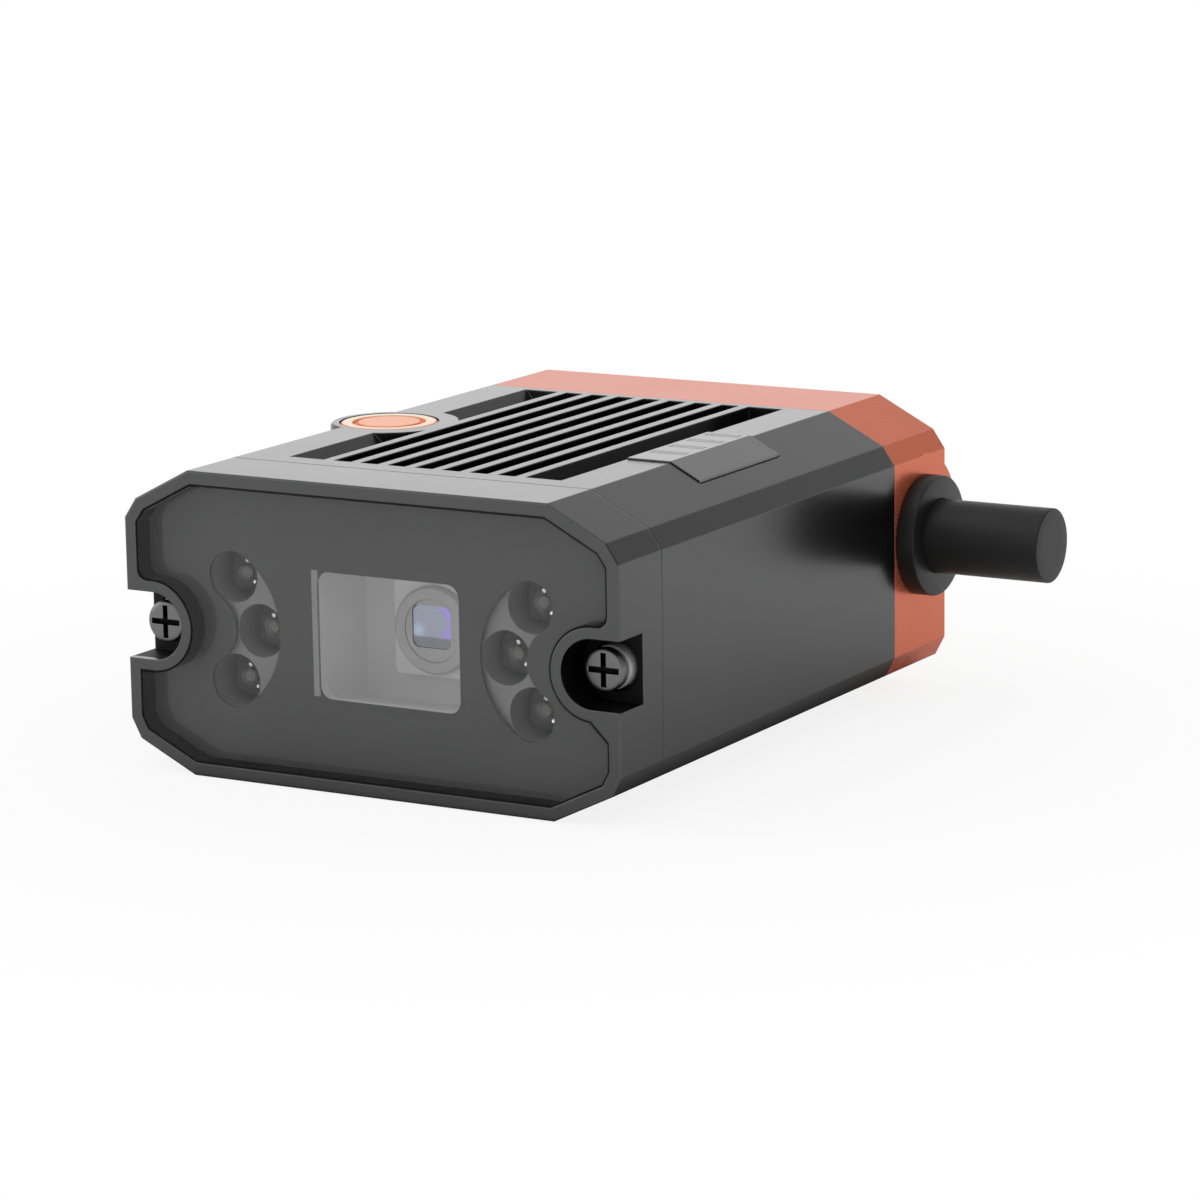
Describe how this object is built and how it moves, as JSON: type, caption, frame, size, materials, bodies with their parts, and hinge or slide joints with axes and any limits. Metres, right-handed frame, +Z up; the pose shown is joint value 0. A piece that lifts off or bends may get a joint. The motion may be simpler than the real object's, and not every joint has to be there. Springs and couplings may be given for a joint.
{
  "type": "machine vision camera",
  "caption": "Compact machine vision camera with a finned grey housing, lamps behind a keyed front window, a trigger button, a status panel and a side cable.",
  "frame": {"origin": "middle of the flat base of the body, half way between its front and rear faces", "axes": "+Z up out of the heat sink, -Y out of the front window, +X towards the cable"},
  "size_m": [0.0632, 0.0649, 0.0275],
  "materials": {
    "grey_metal": "fine bead-blasted and anodised, satin",
    "orange_metal": "satin orange finish",
    "clear_plate": "polished clear plate",
    "window_print": "dark grey print",
    "seal_rubber": "matt black rubber",
    "panel_plastic": "moulded light grey",
    "screw_steel": "bright steel",
    "lamp_package": "white ceramic",
    "lamp_lens": "clear moulded lens",
    "board": "green solder resist",
    "chip": "black moulding",
    "lens_metal": "black anodised",
    "lens_glass": "coated optical glass",
    "sensor_glass": "cover glass over silicon",
    "button_plastic": "satin orange",
    "spring_steel": "spring steel",
    "status_plastic": "smooth grey",
    "light_guide": "frosted clear plastic",
    "gland_plastic": "dark grey moulding",
    "cable_jacket": "smooth black jacket",
    "core_insulation": "coloured insulation",
    "pad_gel": "soft heat-conducting pad",
    "ribbon": "polyimide ribbon",
    "capacitor_can": "drawn can",
    "connector_plastic": "natural nylon"
  },
  "bodies": {
    "camera": {"bezel_gasket": "seal_rubber", "bezel_screws": "screw_steel", "board_header": "chip", "button_seal": "seal_rubber", "cable_connector": "connector_plastic", "cable_cores": "core_insulation", "cable_stub": "cable_jacket", "front_bezel": "grey_metal", "front_lens": "lens_glass", "front_window": "clear_plate", "gland_body": "gland_plastic", "gland_nut": "screw_steel", "gland_seal": "seal_rubber", "housing": "grey_metal", "image_sensor": "sensor_glass", "infrared_filter": "lens_glass", "left_lamp_board": "board", "left_lamp_lenses": "lamp_lens", "left_lamps": "lamp_package", "lens_barrel": "lens_metal", "lens_bracket": "panel_plastic", "lens_holder": "panel_plastic", "lens_retaining_ring": "lens_metal", "light_panel": "panel_plastic", "main_board": "board", "main_board_screws": "screw_steel", "memory_chips": "chip", "power_board": "board", "power_board_screws": "screw_steel", "power_board_standoffs": "screw_steel", "power_capacitors": "capacitor_can", "power_inductor": "chip", "processor": "chip", "rear_cover": "orange_metal", "rear_cover_screws": "screw_steel", "rear_gasket": "seal_rubber", "rear_lens": "lens_glass", "right_lamp_board": "board", "right_lamp_lenses": "lamp_lens", "right_lamps": "lamp_package", "screw_bushes": "screw_steel", "screw_lock_washers": "spring_steel", "sensor_board": "board", "sensor_board_screws": "screw_steel", "sensor_ribbon": "ribbon", "status_lamps": "lamp_package", "status_light_guides": "light_guide", "status_panel": "status_plastic", "switch_body": "chip", "thermal_pad": "pad_gel", "window_gasket": "seal_rubber", "window_mask": "window_print"},
    "button": {"trigger_button": "button_plastic", "button_clip": "spring_steel", "switch_plunger": "gland_plastic"}
  },
  "joints": [
    {"name": "trigger_press", "type": "slide", "parent": "camera", "child": "button", "axis": [0, 0, -1], "range_m": [0, 0.0006], "stiffness_N_per_m": 1200, "springref_m": -0.0004}
  ]
}
